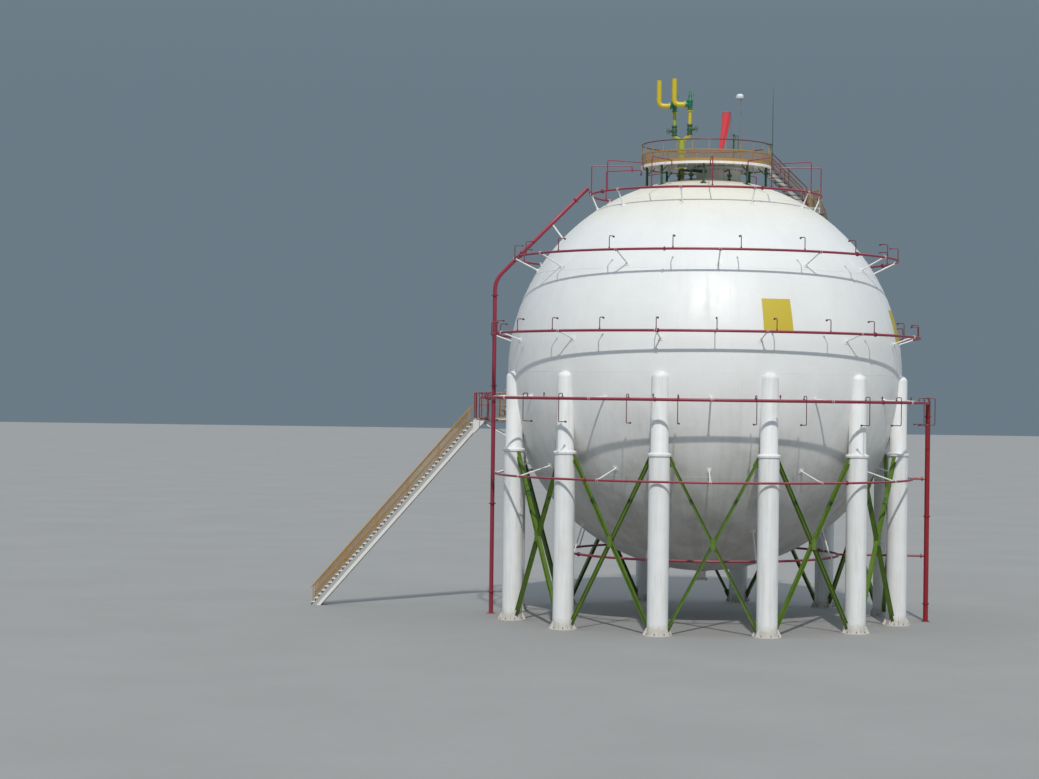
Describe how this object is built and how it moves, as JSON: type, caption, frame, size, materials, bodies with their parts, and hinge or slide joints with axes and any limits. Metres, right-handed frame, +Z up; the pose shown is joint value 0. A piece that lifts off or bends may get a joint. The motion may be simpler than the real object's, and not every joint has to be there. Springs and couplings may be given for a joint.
{
  "type": "spherical gas storage tank",
  "caption": "Spherical pressure vessel on braced columns, with cooling-water spray rings, stairs from ground to crown, a railed top platform and relief valves with vent stacks.",
  "frame": {"origin": "middle of the footprint at ground level", "axes": "+Z up; +X to the right of the pictured side, away from the ground stair; +Y away from the pictured side"},
  "size_m": [31.8922, 23.0168, 27.22],
  "materials": {
    "vessel_paint": "weathered white gloss paint, streaked below the middle",
    "column_paint": "white paint over fireproofing",
    "brace_paint": "yellow-green paint",
    "water_pipe_paint": "dark red pipe paint",
    "rail_paint": "amber paint, worn",
    "stair_paint": "off-white paint, dark at the treads",
    "nozzle_paint": "cream white paint",
    "valve_paint": "green enamel",
    "vent_paint": "yellow pipe paint",
    "manifold_paint": "olive green pipe paint",
    "galvanised_steel": "dull galvanised steel",
    "windsock_fabric": "faded red cloth"
  },
  "bodies": {
    "root": {"shell_crown": "vessel_paint", "shell_upper_belt": "vessel_paint", "shell_equator_belt": "vessel_paint", "shell_lower_belt": "vessel_paint", "shell_bottom": "vessel_paint", "column_01": "column_paint", "column_02": "column_paint", "column_03": "column_paint", "column_04": "column_paint", "column_05": "column_paint", "column_06": "column_paint", "column_07": "column_paint", "column_08": "column_paint", "column_09": "column_paint", "column_10": "column_paint", "column_11": "column_paint", "column_12": "column_paint", "brace_bay_01": "brace_paint", "brace_bay_02": "brace_paint", "brace_bay_03": "brace_paint", "brace_bay_04": "brace_paint", "brace_bay_05": "brace_paint", "brace_bay_06": "brace_paint", "brace_bay_07": "brace_paint", "brace_bay_08": "brace_paint", "brace_bay_09": "brace_paint", "brace_bay_10": "brace_paint", "brace_bay_11": "brace_paint", "brace_bay_12": "brace_paint", "spray_ring_crown": "water_pipe_paint", "spray_ring_upper": "water_pipe_paint", "spray_ring_equator": "water_pipe_paint", "spray_ring_columns": "water_pipe_paint", "spray_ring_lower": "water_pipe_paint", "spray_ring_bottom": "water_pipe_paint", "riser_left": "water_pipe_paint", "riser_right": "water_pipe_paint", "ground_stair": "stair_paint", "ground_rail_front": "rail_paint", "ground_rail_back": "rail_paint", "stair_landing": "stair_paint", "spiral_stair": "stair_paint", "spiral_rail_inner": "rail_paint", "spiral_rail_outer": "rail_paint", "top_flight": "stair_paint", "platform_floor": "stair_paint", "platform_rail": "rail_paint", "manway_drum": "nozzle_paint", "relief_manifold": "manifold_paint", "relief_valve_1": "valve_paint", "vent_stack_1": "vent_paint", "relief_valve_2": "valve_paint", "vent_stack_2": "vent_paint", "lamp_mast": "galvanised_steel", "gauge_standpipe": "manifold_paint", "lightning_rod": "manifold_paint", "windsock_mast": "galvanised_steel", "windsock_sleeve": "windsock_fabric", "bottom_nozzle": "nozzle_paint"}
  },
  "joints": []
}
